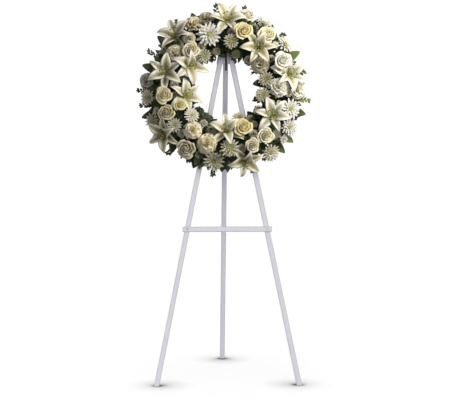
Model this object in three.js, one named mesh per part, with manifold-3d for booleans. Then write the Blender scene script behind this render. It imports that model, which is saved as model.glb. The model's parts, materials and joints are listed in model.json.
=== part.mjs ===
// A funeral wreath of white and cream flowers in a floral foam ring, hung on a folding white wooden tripod
// easel. Millimetres, +Z up, +X to the viewer's right, +Y away from the viewer. The origin is on the floor,
// under the middle of the whole object.
import * as THREE from "three";
import { mergeVertices } from "three/addons/utils/BufferGeometryUtils.js";
import Module from "manifold-3d";

const wasm = await Module();
wasm.setup();

const { Vector2, Vector3, Matrix4, Shape, Group } = THREE;
const { degToRad } = THREE.MathUtils;

// Easel: three laths, a crossbar nailed across the front pair, and a head block behind their tops
const lathLength = 1219;
const lathWidth = 18;
const lathDepth = 15;
const lathChamfer = 2.5;
const footSpread = 494;
const legTopBeside = 9.3;
const frontLean = degToRad(9);
const crossbar = { width: 313, height: 18, depth: 9, up: 542 };
const headBlock = { low: 1134, high: 1180, halfLow: 33, halfHigh: 26, depth: 12 };
const hinge = { up: 1157, plate: 2, ear: 2, behind: 8.4, boltRadius: 3, headRadius: 5.5, head: 4, tall: 26 };
const rearLeg = { aboveHinge: 14, belowHinge: 1181 };
const nail = { radius: 1.3, length: 20, headRadius: 2.9, head: 1 };
const screw = { radius: 1.6, length: 22, headRadius: 3.5, head: 1.5 };
const screwUp = 1146;
const easelBeside = 9;
const gap = 0.3;
const cutOverrun = 10;
const cutSize = 60;
const weldWithin = 1e-3;

// Ring: floral foam in a plastic tray, its flat back against the front legs
const ringUp = 1024;
const ringRadius = 190;
const ringSegments = 24;
const foam = { halfWidth: 38, slopeHalf: 23.5, shoulder: 30, slopeFront: 46, front: 50 };
const tray = { wall: 2.2, depth: 12 };
const hook = { width: 6, thickness: 2.5, low: 1108, reach: 20, tip: 9 };

// Flowers stand round the ring's middle line, their faces this far out from it, their stems aimed into the
// foam
const tubeFront = 28;
const faceDepth = 84;
const steepest = degToRad(80);
const aimFront = 19;
const aimSpread = 15;
const turnShare = 0.55;
const stemRadius = 2.2;
const branchRadius = 1.6;
const forkAbove = 44;
const holeClearance = 0.36;
const drawnRadius = 30;

// The flowers, clockwise from the top. right and up are from the ring's middle, as the viewer sees it.
// Where a line holds more than one head, they branch from one stem.
const roses = [
  [{ right: 65, up: 198, radius: 31 }],
  [{ right: 82, up: 271, radius: 26 }],
  [{ right: 150, up: 189, radius: 31 }],
  [{ right: 200, up: 96, radius: 30 }],
  [{ right: 138, up: -170, radius: 28 }],
  [{ right: 93, up: -205, radius: 26 }],
  [{ right: 59, up: -137, radius: 32 }],
  [{ right: -137, up: -216, radius: 32 }],
  [{ right: -205, up: -90, radius: 27 }],
  [{ right: -155, up: -62, radius: 22 }],
  [{ right: -212, up: -28, radius: 32 }],
  [{ right: -117, up: 129, radius: 28 }],
];
const carnations = [
  [{ right: 187, up: 3, radius: 30 }, { right: 262, up: 4, radius: 32 }],
  [{ right: 119, up: 81, radius: 28 }],
  [{ right: -63, up: -195, radius: 31 }, { right: -112, up: -148, radius: 28 }],
  [{ right: -284, up: 39, radius: 27 }],
  [{ right: -175, up: 118, radius: 30 }],
  [{ right: -125, up: 174, radius: 20 }],
  [{ right: -114, up: 246, radius: 28 }, { right: -65, up: 266, radius: 24 }],
];
const mums = [
  [{ right: 143, up: 248, radius: 27 }],
  [{ right: 218, up: 168, radius: 31 }, { right: 176, up: 150, radius: 16 }],
  [{ right: 140, up: 30, radius: 25 }, { right: 129, up: -23, radius: 25 }],
  [{ right: 228, up: -74, radius: 33 }, { right: 226, up: -136, radius: 30 }],
  [{ right: 162, up: -224, radius: 31 }, { right: 206, up: -176, radius: 15 }],
  [{ right: 46, up: -97, radius: 23 }],
  [{ right: 15, up: -211, radius: 31 }, { right: -40, up: -256, radius: 34 }],
  [{ right: -114, up: -96, radius: 27 }, { right: -176, up: -132, radius: 27 }],
  [{ right: -254, up: -110, radius: 27 }, { right: -271, up: -28, radius: 27 }],
  [
    { right: -55, up: 185, radius: 40 },
    { right: -70, up: 112, radius: 23 },
    { right: 22, up: 161, radius: 28 },
  ],
];
const lilies = [
  { right: 11, up: 251, radius: 62, spin: 30 },
  { right: 116, up: 142, radius: 60, spin: 12 },
  { right: 229, up: 48, radius: 60, spin: 25 },
  { right: 163, up: -96, radius: 60, spin: 20 },
  { right: 72, up: -252, radius: 60, spin: 30 },
  { right: 5, up: -145, radius: 60, spin: 8 },
  { right: -213, up: -159, radius: 62, spin: 50 },
  { right: -130, up: -23, radius: 58, spin: 28 },
  { right: -207, up: 55, radius: 62, spin: 40 },
  { right: -117, up: 80, radius: 66, spin: 15 },
  { right: -173, up: 191, radius: 64, spin: 35 },
];

// The greens grow from thin runners pegged to the foam, outside and inside. clock is in degrees clockwise
// from the top, and reach is how far a tip is from the ring's middle.
const runner = { radius: 2.2, front: 18, outside: 237, inside: 143, step: 12, endInset: 2 };
const peg = { inset: 14, deep: 14 };
const leaf = { share: 0.3, widest: 17, foot: 1.6, thickness: 1.8 };
const twig = { radius: 1.3, bare: 0.8, leaf: 18, leafHalf: 4.6, leafThickness: 1.6, spread: 45, tilt: 29 };
const outerGreens = [
  { clock: 5, reach: 298, kind: "leaf" },
  { clock: 14, reach: 316, kind: "sprig" },
  { clock: 36, reach: 297, kind: "leaf" },
  { clock: 46, reach: 300, kind: "sprig" },
  { clock: 62, reach: 302, kind: "leaf" },
  { clock: 76, reach: 296, kind: "sprig" },
  { clock: 96, reach: 306, kind: "sprig" },
  { clock: 106, reach: 296, kind: "leaf" },
  { clock: 127, reach: 300, kind: "leaf" },
  { clock: 136, reach: 302, kind: "leaf" },
  { clock: 161, reach: 305, kind: "sprig" },
  { clock: 182, reach: 284, kind: "leaf" },
  { clock: 188, reach: 306, kind: "sprig" },
  { clock: 202, reach: 292, kind: "leaf" },
  { clock: 222, reach: 304, kind: "sprig" },
  { clock: 236, reach: 304, kind: "leaf" },
  { clock: 252, reach: 302, kind: "leaf" },
  { clock: 260, reach: 302, kind: "sprig" },
  { clock: 271, reach: 308, kind: "sprig" },
  { clock: 288, reach: 300, kind: "leaf" },
  { clock: 298, reach: 306, kind: "sprig" },
  { clock: 310, reach: 304, kind: "leaf" },
  { clock: 326, reach: 308, kind: "sprig" },
  { clock: 338, reach: 300, kind: "leaf" },
  { clock: 355, reach: 316, kind: "sprig" },
];
const innerGreens = [
  { clock: 20, reach: 122, kind: "leaf" },
  { clock: 76, reach: 104, kind: "leaf" },
  { clock: 104, reach: 106, kind: "sprig" },
  { clock: 132, reach: 108, kind: "leaf" },
  { clock: 165, reach: 106, kind: "leaf" },
  { clock: 199, reach: 104, kind: "sprig" },
  { clock: 250, reach: 100, kind: "sprig" },
  { clock: 282, reach: 104, kind: "leaf" },
  { clock: 320, reach: 118, kind: "leaf" },
  { clock: 345, reach: 124, kind: "leaf" },
];

const paint = { color: 0xe9e8ee, roughness: 0.45 };
const zinc = { color: 0xb4b4b2, roughness: 0.35, metalness: 0.9 };
const darkSteel = { color: 0x2c2c2a, roughness: 0.5, metalness: 0.6 };
const trayGreen = { color: 0x1f2b1c, roughness: 0.5 };
const foamGreen = { color: 0x34482a, roughness: 0.95 };
const leafGreen = { color: 0x3c4d2c, roughness: 0.5 };
const roseCream = { color: 0xefe6bd, roughness: 0.6 };
const carnationWhite = { color: 0xf1eee0, roughness: 0.7 };
const mumWhite = { color: 0xf4f4ec, roughness: 0.6 };
const lilyWhite = { color: 0xefeadb, roughness: 0.5 };

// A closed solid from a list of points and a list of triangles, turned to face out
function facetSolid(points, triangles) {
  const vertProperties = new Float32Array(points.flat());
  const make = (faces) => new wasm.Manifold(
    new wasm.Mesh({ numProp: 3, vertProperties, triVerts: new Uint32Array(faces.flat()) }),
  );
  const solid = make(triangles);
  return solid.volume() > 0 ? solid : make(triangles.map(([a, b, c]) => [a, c, b]));
}

function solidOf(geometry) {
  const bare = new THREE.BufferGeometry();
  const loose = geometry.index ? geometry.toNonIndexed() : geometry;
  bare.setAttribute("position", loose.getAttribute("position"));
  const merged = mergeVertices(bare, weldWithin);
  const { array } = merged.getAttribute("position");
  const corners = merged.index.array;
  const inThrees = (list) => Array.from({ length: list.length / 3 }, (_, k) => (
    [...list.slice(3 * k, 3 * k + 3)]
  ));
  return facetSolid(inThrees(array), inThrees(corners).filter(([a, b, c]) => a !== b && b !== c && c !== a));
}

function geometryOf(solid) {
  const mesh = solid.getMesh();
  const geometry = new THREE.BufferGeometry();
  geometry.setAttribute("position", new THREE.BufferAttribute(new Float32Array(mesh.vertProperties), 3));
  geometry.setIndex(new THREE.BufferAttribute(new Uint32Array(mesh.triVerts), 1));
  return geometry;
}

function meshOf(name, solid, finish) {
  const mesh = new THREE.Mesh(geometryOf(solid), new THREE.MeshStandardMaterial(finish));
  mesh.name = name;
  return mesh;
}

const join = (solids) => wasm.Manifold.union(solids);
const moved = (solid, ...steps) => solid.transform(
  steps.reduce((whole, step) => whole.multiply(step), new Matrix4()).toArray(),
);
const shift = (x, y, z) => new Matrix4().makeTranslation(x, y, z);
const turnX = (angle) => new Matrix4().makeRotationX(angle);
const turnY = (angle) => new Matrix4().makeRotationY(angle);
const turnZ = (angle) => new Matrix4().makeRotationZ(angle);
const scaled = (size) => new Matrix4().makeScale(size, size, size);

function block(width, height, depth, x, y, z) {
  return solidOf(new THREE.BoxGeometry(width, height, depth).translate(x, y, z));
}

// A prism of an outline along +Z, from low to high
function prism(outline, low, high) {
  const shape = new Shape(outline.map(([x, y]) => new Vector2(x, y)));
  const geometry = new THREE.ExtrudeGeometry(shape, { depth: high - low, bevelEnabled: false });
  return solidOf(geometry.translate(0, 0, low));
}

// A rod of a few flat sides along +Z, from low to high
function rod(radius, low, high, sides = 6) {
  const geometry = new THREE.CylinderGeometry(radius, radius, high - low, sides);
  return solidOf(geometry.rotateX(Math.PI / 2).translate(0, 0, (low + high) / 2));
}

// A straight rod between two points
function stem(from, to, radius = stemRadius, sides = 4) {
  const along = to.clone().sub(from);
  const turn = new THREE.Quaternion().setFromUnitVectors(new Vector3(0, 0, 1), along.clone().normalize());
  const place = new Matrix4().compose(from, turn, new Vector3(1, 1, 1));
  return moved(rod(radius, 0, along.length(), sides), place);
}

// The front frame's own axes: x right, y up along the laths, z out of their front faces
const standUp = Math.PI / 2 - frontLean;
const legSplay = Math.asin((footSpread / 2 - legTopBeside) / lathLength);
const legBesideAt = (up) => footSpread / 2 - up * Math.tan(legSplay);

// A chamfered lath along +Y from low to high, with its front face at z = front
function lath(low, high, front) {
  const side = lathWidth / 2;
  const c = lathChamfer;
  const outline = [
    [c - side, 0],
    [side - c, 0],
    [side, c],
    [side, lathDepth - c],
    [side - c, lathDepth],
    [c - side, lathDepth],
    [-side, lathDepth - c],
    [-side, c],
  ];
  return moved(prism(outline, low, high), shift(0, 0, front), turnX(-Math.PI / 2));
}

// All that is below the floor, seen from axes that are turned about X and whose origin is at a height
function belowFloor(turn, height) {
  return moved(block(2 * footSpread, 2 * footSpread, 100, 0, 0, -50 - height), turnX(-turn));
}

// A pin along z with a round head in front, and the hole that it stands in
function pinAt([x, y], { radius, length, headRadius, head }, headBack) {
  const shank = rod(radius, headBack - length, headBack + head / 2);
  return moved(join([shank, rod(headRadius, headBack, headBack + head, 8)]), shift(x, y, 0));
}

function pinHoleAt([x, y], { radius, length }, headBack) {
  return moved(rod(radius + gap, headBack - length - gap, headBack + cutOverrun), shift(x, y, 0));
}

const crossbarFront = gap + crossbar.depth;
const nailBack = crossbarFront + gap;
const nailPlaces = [-1, 1].map((side) => [side * legBesideAt(crossbar.up), crossbar.up]);
const screwPlaces = [-1, 1].map((side) => [side * legBesideAt(screwUp), screwUp]);
const pinHoles = join([
  ...nailPlaces.map((place) => pinHoleAt(place, nail, nailBack)),
  ...screwPlaces.map((place) => pinHoleAt(place, screw, gap)),
]);

function frontLeg(side) {
  const foot = shift((side * footSpread) / 2, 0, 0);
  const leaning = moved(lath(-cutOverrun, lathLength, 0), foot, turnZ(side * legSplay));
  return leaning.subtract(belowFloor(standUp, 0)).subtract(pinHoles);
}

function crossbarSolid() {
  const side = crossbar.height / 2;
  const c = lathChamfer;
  const outline = [
    [-side, gap],
    [side, gap],
    [side, crossbarFront - c],
    [side - c, crossbarFront],
    [c - side, crossbarFront],
    [-side, crossbarFront - c],
  ];
  const bar = moved(
    prism(outline, -crossbar.width / 2, crossbar.width / 2),
    shift(0, crossbar.up, 0),
    turnX(Math.PI / 2),
    turnY(Math.PI / 2),
  );
  return bar.subtract(pinHoles);
}

// A tapered block behind the tops of the front laths
const blockFront = -lathDepth - gap;
const blockBack = blockFront - headBlock.depth;

function headBlockSolid() {
  const { low, high, halfLow, halfHigh } = headBlock;
  const outline = [[-halfLow, low], [halfLow, low], [halfHigh, high], [-halfHigh, high]];
  return prism(outline, blockBack, blockFront).subtract(pinHoles);
}

// A steel fork on the back of the head block: a plate and two ears that carry the hinge bolt
const plateFront = blockBack - gap;
const plateBack = plateFront - hinge.plate;
const boltFront = plateBack - hinge.behind;
const earInside = lathWidth / 2 + 2 * gap;
const earOutside = earInside + hinge.ear;

function crossRod(radius, halfLength, sides) {
  const across = rod(radius, -halfLength, halfLength, sides);
  return moved(across, shift(0, hinge.up, boltFront), turnY(Math.PI / 2));
}

function hingeFork() {
  const earBack = boltFront - hinge.behind;
  const outline = [
    [-earOutside, plateFront],
    [-earOutside, earBack],
    [-earInside, earBack],
    [-earInside, plateBack],
    [earInside, plateBack],
    [earInside, earBack],
    [earOutside, earBack],
    [earOutside, plateFront],
  ];
  const upright = prism(outline, -hinge.tall / 2, hinge.tall / 2);
  const fork = moved(upright, shift(0, hinge.up, 0), turnX(Math.PI / 2));
  return fork.subtract(crossRod(hinge.boltRadius + gap, earOutside + gap, 12));
}

function hingeBolt() {
  const inside = earOutside + gap;
  const head = rod(hinge.headRadius, inside, inside + hinge.head);
  const ends = [1, -1].map((side) => moved(head, shift(0, hinge.up, boltFront), turnY((side * Math.PI) / 2)));
  return join([crossRod(hinge.boltRadius, inside + hinge.head / 2, 12), ...ends]);
}

// A strap hook on the head block's front face. The tray's inner rim rests on its arm, its tip is pushed in
// the foam.
const trayInside = ringRadius - foam.halfWidth - gap - tray.wall;
const hookTop = ringUp + trayInside * Math.cos(Math.PI / ringSegments) - gap;

function hookSolid(swell = 0) {
  const back = blockFront + gap;
  const { thickness, low, reach, tip } = hook;
  const outline = [
    [back, low],
    [back + thickness, low],
    [back + thickness, hookTop - thickness],
    [reach + swell, hookTop - thickness],
    [reach + swell, hookTop + tip + swell],
    [reach - thickness - swell, hookTop + tip - thickness + swell],
    [reach - thickness - swell, hookTop],
    [back, hookTop],
  ];
  const halfWidth = hook.width / 2 + swell;
  return moved(prism(outline, -halfWidth, halfWidth), turnY(-Math.PI / 2));
}

// The rear lath hangs in the fork. Its heel is bevelled and bears on the fork's plate when the easel stands
// open.
const hingeBack = hinge.up * Math.sin(frontLean) - boltFront * Math.cos(frontLean);
const hingeHeight = hinge.up * Math.cos(frontLean) + boltFront * Math.sin(frontLean);
const rearLean = Math.acos(hingeHeight / rearLeg.belowHinge);
const rearFootBack = hingeBack + rearLeg.belowHinge * Math.sin(rearLean);
const rearStandUp = Math.PI / 2 + rearLean;

function rearLegSolid() {
  const whole = lath(-rearLeg.belowHinge - cutOverrun, rearLeg.aboveHinge, lathDepth / 2);
  const cutter = block(cutSize, cutSize, cutSize, 0, 0, cutSize / 2 + hinge.behind - gap);
  const plate = moved(cutter, turnX(-frontLean - rearLean));
  const bore = moved(rod(hinge.boltRadius + gap, -lathWidth, lathWidth, 12), turnY(Math.PI / 2));
  return whole.subtract(belowFloor(rearStandUp, hingeHeight)).subtract(plate).subtract(bore);
}

// The wreath's own axes: x right, y up, z towards the viewer, its origin at the ring's middle
function ringLathe(profile) {
  const points = [...profile, profile[0]].map(([radius, front]) => new Vector2(radius, front));
  const geometry = new THREE.LatheGeometry(points, ringSegments);
  return solidOf(geometry.rotateX(Math.PI / 2).rotateZ(Math.PI / ringSegments));
}

function traySolid() {
  const outside = ringRadius + foam.halfWidth + gap;
  const inside = ringRadius - foam.halfWidth - gap;
  const floor = gap + tray.wall;
  const rim = gap + tray.depth;
  return ringLathe([
    [inside - tray.wall, gap],
    [outside + tray.wall, gap],
    [outside + tray.wall, rim],
    [outside, rim],
    [outside, floor],
    [inside, floor],
    [inside, rim],
    [inside - tray.wall, rim],
  ]);
}

function foamRing() {
  const { halfWidth, slopeHalf, shoulder, slopeFront, front } = foam;
  const back = gap + tray.wall + gap;
  return ringLathe([
    [ringRadius - halfWidth, back],
    [ringRadius + halfWidth, back],
    [ringRadius + halfWidth, shoulder],
    [ringRadius + slopeHalf, slopeFront],
    [ringRadius, front],
    [ringRadius - slopeHalf, slopeFront],
    [ringRadius - halfWidth, shoulder],
  ]);
}

// Flowers and greens that are already in place. A piece is clear if it stays out of them all when nudged
// four ways.
const placed = [];
const nudges = [[1, 1, 1], [1, -1, -1], [-1, 1, -1], [-1, -1, 1]].map((way) => way.map((n) => n * gap));

function boxesMeet(a, b) {
  return [0, 1, 2].every((i) => a.min[i] < b.max[i] + 1 && b.min[i] < a.max[i] + 1);
}

function isClear(solid, others = placed) {
  const box = solid.boundingBox();
  const near = others.filter((other) => boxesMeet(box, other.box));
  return nudges.every((nudge) => {
    const nudged = solid.translate(nudge);
    return near.every((other) => nudged.intersect(other.solid).isEmpty());
  });
}

// Where a flower stands: its face over the ring's round front, turned part of the way back to the viewer, and
// its stem aimed into the foam
function seat({ right, up, spin = 0 }, lift, height) {
  const reach = Math.hypot(right, up);
  const radial = new Vector3(right / reach, up / reach, 0);
  const offset = reach - ringRadius;
  const depth = Math.max(faceDepth + lift, Math.abs(offset) / Math.sin(steepest));
  const lean = Math.asin(offset / depth);
  const at = (across, front) => radial.clone().multiplyScalar(ringRadius + across).setZ(front);
  const face = at(depth * Math.sin(lean), tubeFront + depth * Math.cos(lean));
  const aim = at(aimSpread * Math.sin(lean), aimFront);
  const turn = lean * turnShare;
  const axis = radial.clone().multiplyScalar(Math.sin(turn)).setZ(Math.cos(turn));
  const base = face.clone().addScaledVector(axis, -height);
  const across = new Vector3(0, 0, 1).cross(radial);
  const matrix = new Matrix4().makeBasis(across.clone().cross(axis), across, axis).setPosition(base);
  return { matrix: matrix.multiply(turnZ(degToRad(spin))), base, aim };
}

// A thin blade along +X. Each station gives the midrib's place, the half width, and how far the edges stand
// above the midrib. Both faces split their quads the same way, so that they never cross.
function blade(stations, tip, thickness) {
  const points = [];
  const triangles = [[0, 1, 3], [1, 2, 3]];
  stations.forEach(({ out, up, half, lift }, k) => {
    const next = stations[k + 1] ?? tip;
    const before = stations[k - 1] ?? { out, up };
    const slope = Math.atan2(next.up - before.up, next.out - before.out);
    const at = (across, above) => [out - Math.sin(slope) * above, across, up + Math.cos(slope) * above];
    points.push(at(-half, lift), at(0, thickness / 2), at(half, lift), at(0, -thickness / 2));
    const [l, t, r, b] = [0, 1, 2, 3].map((corner) => 4 * k + corner);
    if (next === tip) {
      const end = 4 * stations.length;
      triangles.push([l, end, t], [t, end, r], [r, end, b], [b, end, l]);
      return;
    }
    const [l2, t2, r2, b2] = [l, t, r, b].map((corner) => corner + 4);
    triangles.push([l, t2, t], [l, l2, t2], [t, t2, r], [r, t2, r2]);
    triangles.push([r, b2, b], [r, r2, b2], [b, b2, l], [l, b2, l2]);
  });
  points.push([tip.out, 0, tip.up]);
  return facetSolid(points, triangles);
}

// A curved petal that wraps part of the way round the axis. Its radius grows from edge to edge, so that the
// petals of one layer lie in each other's lap and never cross. rows are its foot, belly and rim.
function cupPetal({ wrap, rows, lap, thickness }) {
  const columns = [-1, 0, 1];
  const at = (row, column, out) => {
    const { radius, up, narrow, droop = 0 } = rows[row];
    const u = columns[column];
    const r = radius + lap * u + out;
    const angle = u * wrap * narrow;
    return [r * Math.cos(angle), r * Math.sin(angle), up - droop * Math.abs(u) ** 3];
  };
  const edge = [0, 1, 2].flatMap((row) => columns.map((_, column) => at(row, column, 0)));
  const faces = [-1, 1].map((face) => at(1, 1, (face * thickness) / 2));
  const index = (row, column, face) => (row === 1 && column === 1 ? edge.length + face : 3 * row + column);
  const triangles = [0, 1].flatMap((face) => [0, 1].flatMap((row) => [0, 1].flatMap((column) => {
    const a = index(row, column, face);
    const b = index(row, column + 1, face);
    const c = index(row + 1, column + 1, face);
    const d = index(row + 1, column, face);
    const pair = column === row ? [[a, b, c], [a, c, d]] : [[a, b, d], [b, c, d]];
    return face ? pair : pair.map(([p, q, r]) => [p, r, q]);
  })));
  return facetSolid([...edge, ...faces], triangles);
}

// A closed body of rings round +Z, one over the other, between a low and a high point on the axis. A ring
// is a plain polygon, or rays with notches between them, and each ray's tip is a point or a short edge.
function ringPoints({ count, radius, up, notch, notchUp, tipHalf = 0, turn = 0 }) {
  const step = (2 * Math.PI) / count;
  return Array.from({ length: count }, (_, k) => {
    const tips = (tipHalf ? [-tipHalf, tipHalf] : [0]).map((beside) => ({ steps: k + beside, radius, up }));
    return notch ? [...tips, { steps: k + 0.5, radius: notch, up: notchUp }] : tips;
  }).flat().map(({ steps, ...point }) => ({ ...point, angle: steps * step + turn }));
}

function stacked(low, rings, high) {
  const points = [[0, 0, low], [0, 0, high]];
  const numbered = rings.map((ring) => ringPoints(ring).map(({ radius, up, angle }) => {
    points.push([radius * Math.cos(angle), radius * Math.sin(angle), up]);
    return { angle, index: points.length - 1 };
  }));
  const triangles = [];
  const fan = (ring, apex, outward) => ring.forEach(({ index }, k) => {
    const next = ring[(k + 1) % ring.length].index;
    triangles.push(outward ? [apex, index, next] : [apex, next, index]);
  });
  const at = (ring, k) => ring[k % ring.length].angle + (k >= ring.length ? 2 * Math.PI : 0);
  const stitch = (under, over) => {
    let [a, b] = [0, 0];
    while (a < under.length || b < over.length) {
      const u = under[a % under.length].index;
      const o = over[b % over.length].index;
      const stepUnder = b >= over.length || (a < under.length && at(under, a + 1) <= at(over, b + 1));
      if (stepUnder) {
        a += 1;
        triangles.push([u, under[a % under.length].index, o]);
      } else {
        b += 1;
        triangles.push([u, over[b % over.length].index, o]);
      }
    }
  };
  fan(numbered[0], 0, false);
  numbered.slice(1).forEach((ring, k) => stitch(numbered[k], ring));
  fan(numbered.at(-1), 1, true);
  return facetSolid(points, triangles);
}

// A rose, drawn at a radius of 30: a closed heart of two whorls, and five lapped petals round it
function roseHead() {
  const heart = stacked(-6, [
    { count: 5, radius: 10, up: 3 },
    { count: 5, radius: 17, up: 11 },
    { count: 4, radius: 18, up: 27, notch: 16, notchUp: 21, tipHalf: 0.25 },
    { count: 6, radius: 10, up: 17 },
    { count: 3, radius: 9.5, up: 30, notch: 8, notchUp: 25, tipHalf: 0.25, turn: 0.5 },
  ], 22);
  const petal = cupPetal({
    wrap: degToRad(48),
    rows: [
      { radius: 7, up: 3, narrow: 0.7 },
      { radius: 25, up: 9, narrow: 1 },
      { radius: 30, up: 21, narrow: 0.8, droop: 3.4 },
    ],
    lap: 3,
    thickness: 2,
  });
  return join([heart, ...[0, 1, 2, 3, 4].map((k) => moved(petal, turnZ(degToRad(72 * k))))]);
}

// A daisy chrysanthemum, drawn at a radius of 30: two whorls of narrow rays and a button
function mumHead() {
  return stacked(-2, [
    { count: 4, radius: 5, up: 0 },
    { count: 14, radius: 30, up: 12, notch: 13, notchUp: 5, tipHalf: 0.2 },
    { count: 6, radius: 8, up: 6 },
    { count: 11, radius: 21, up: 18, notch: 11, notchUp: 10 },
    { count: 5, radius: 6, up: 11 },
  ], 14);
}

// A carnation, drawn at a radius of 30: three ruffled skirts, one in the other
function carnationHead() {
  return stacked(-8, [
    { count: 4, radius: 6, up: -4 },
    { count: 13, radius: 30, up: 13, notch: 25, notchUp: 7 },
    { count: 6, radius: 11, up: 7 },
    { count: 11, radius: 23, up: 23, notch: 17, notchUp: 15 },
    { count: 5, radius: 6, up: 15 },
    { count: 7, radius: 14, up: 29, notch: 8, notchUp: 22 },
  ], 20);
}

// A head at its full size, or as much smaller as its neighbours ask
const headSizes = [1.06, 1.03, 1, 0.96, 0.92, 0.88, 0.84, 0.8, 0.76, 0.72, 0.68, 0.64, 0.6];

function headed({ head, height, lift }, spot) {
  const { matrix, ...place } = seat(spot, lift, (height * spot.radius) / drawnRadius);
  const make = (share) => moved(head, matrix, scaled((spot.radius * share) / drawnRadius));
  const size = headSizes.find((share) => isClear(make(share)));
  return { solid: make(size ?? headSizes.at(-1)), ...place };
}

// One stem in the foam with a head on it. Further heads branch off a little above the foam.
function spray(kind, spots) {
  const [first, ...others] = spots.map((spot) => headed(kind, spot));
  const fork = first.base.clone().sub(first.aim).setLength(forkAbove).add(first.aim);
  const branches = others.flatMap(({ solid, base }) => [solid, stem(base, fork, branchRadius)]);
  const solid = join([first.solid, stem(first.base, first.aim), ...branches]);
  return { solid, roots: [{ from: first.base, to: first.aim }] };
}

// A lily: six long petals round a narrow throat, every second one broad and in front. Each rises, or is
// made smaller, until it is clear of the neighbours, and one that finds no room is left out.
const lilyHeight = 34;
const lilyLift = 10;
const petalRises = [0, -7, -14, -21, -28, -35, 7, 14, 21, 28, 36, 45, 54];
const petalSizes = [1, 0.85, 0.7, 0.55];
const lilyThroat = stacked(-7, [{ count: 6, radius: 6, up: -3 }, { count: 6, radius: 9, up: 14 }], 16);

function lilyPetal(radius, broad) {
  const s = radius / 62;
  const half = (broad ? 15.5 : 11.5) * s;
  const back = broad ? 0 : -2.5;
  return blade([
    { out: 4.2, up: 5, half: 1.7, lift: 0.3 },
    { out: 17 * s, up: 27 * s + back, half: 0.52 * half, lift: 3 * s },
    { out: 41 * s, up: 38 * s + back, half, lift: 3 * s },
  ], { out: 68 * s, up: 31 * s + back }, 2);
}

function lily(spot) {
  const { matrix, base, aim } = seat(spot, lilyLift, lilyHeight);
  const tries = petalSizes.flatMap((size) => petalRises.map((rise) => ({ size, rise })));
  const petals = [0, 1, 2, 3, 4, 5].map((k) => {
    const make = ({ size, rise }) => moved(
      lilyPetal(spot.radius * size, k % 2 === 0), matrix, turnZ(degToRad(60 * k)), turnY(-degToRad(rise)),
    );
    const fit = tries.find((one) => isClear(make(one)));
    return fit && make(fit);
  });
  const throat = moved(lilyThroat, matrix, turnZ(degToRad(30)));
  const solid = join([throat, stem(base, aim), ...petals.filter(Boolean)]);
  return { solid, roots: [{ from: base, to: aim }] };
}

// A point by the ring, from a clock angle, a distance from the ring's middle and a distance in front of the
// legs
function byRing(clock, reach, front) {
  return new Vector3(reach * Math.sin(degToRad(clock)), reach * Math.cos(degToRad(clock)), front);
}

function runnerSolid(reach, from, to) {
  const steps = Math.round((to - from) / runner.step);
  const clocks = Array.from({ length: steps + 1 }, (_, k) => from + ((to - from) * k) / steps);
  const path = new THREE.CatmullRomCurve3(clocks.map((clock) => byRing(clock, reach, runner.front)));
  const section = new Shape([0, 1, 2, 3].map((k) => new Vector2(
    runner.radius * Math.cos((k * Math.PI) / 2),
    runner.radius * Math.sin((k * Math.PI) / 2),
  )));
  return solidOf(new THREE.ExtrudeGeometry(section, { steps, extrudePath: path, bevelEnabled: false }));
}

// A broad pointed leaf of a given length along +X
function leafBlade(length) {
  const half = Math.min(leaf.widest, leaf.share * length);
  return blade([
    { out: -2, up: 0, half: leaf.foot, lift: 0.2 },
    { out: 0.3 * length, up: 0.04 * length, half: 0.75 * half, lift: 2 },
    { out: 0.62 * length, up: 0.05 * length, half, lift: 2.5 },
  ], { out: length, up: 0 }, leaf.thickness);
}

// A small leaf of eight faces along +X
function leaflet(length) {
  const { leafHalf, leafThickness } = twig;
  const points = [
    [0, 0, 0],
    [0.5 * length, -leafHalf, 0.8],
    [0.5 * length, leafHalf, 0.8],
    [length, 0, 1],
    [0.45 * length, 0, leafThickness / 2],
    [0.45 * length, 0, -leafThickness / 2],
  ];
  return facetSolid(points, [
    [0, 1, 4], [0, 4, 2], [0, 2, 5], [0, 5, 1], [3, 4, 1], [3, 2, 4], [3, 5, 2], [3, 1, 5],
  ]);
}

// A twig with small leaves, left and right in turn, and one at its end
const twigLeaves = [0.36, 0.48, 0.62, 0.74];

function sprig(length) {
  const stalk = stem(new Vector3(-2, 0, 0), new Vector3(twig.bare * length, 0, 0), twig.radius, 3);
  const sideLeaf = leaflet(twig.leaf);
  const leaves = twigLeaves.map((share, k) => {
    const [tilt, spread] = [twig.tilt, twig.spread].map((angle) => degToRad(k % 2 ? -angle : angle));
    return moved(sideLeaf, shift(share * length, 0, 0), turnX(tilt), turnZ(spread));
  });
  const endShare = twigLeaves.at(-1);
  return join([stalk, ...leaves, moved(leaflet((1 - endShare) * length), shift(endShare * length, 0, 0))]);
}

// A green from a point on the runner to where it is asked to end, or as near to that as the flowers allow.
// Where they leave no room, there is none.
const tipFronts = [40, 28, 52, 16, 64, 8, 76];
const tipShifts = [0, 3, -3, 6, -6];

function green({ clock, reach, kind }, from, others) {
  const tries = tipShifts.flatMap((beside) => tipFronts.map((front) => {
    const foot = byRing(clock + beside / 2, from, runner.front);
    const x = byRing(clock + beside, reach, front).sub(foot);
    const length = x.length();
    x.normalize();
    const y = new Vector3(0, 0, 1).cross(x).normalize();
    const matrix = new Matrix4().makeBasis(x, y, x.clone().cross(y)).setPosition(foot);
    return () => moved(kind === "leaf" ? leafBlade(length) : sprig(length), matrix);
  }));
  return tries.map((make) => make()).find((solid) => isClear(solid, others));
}

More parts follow.
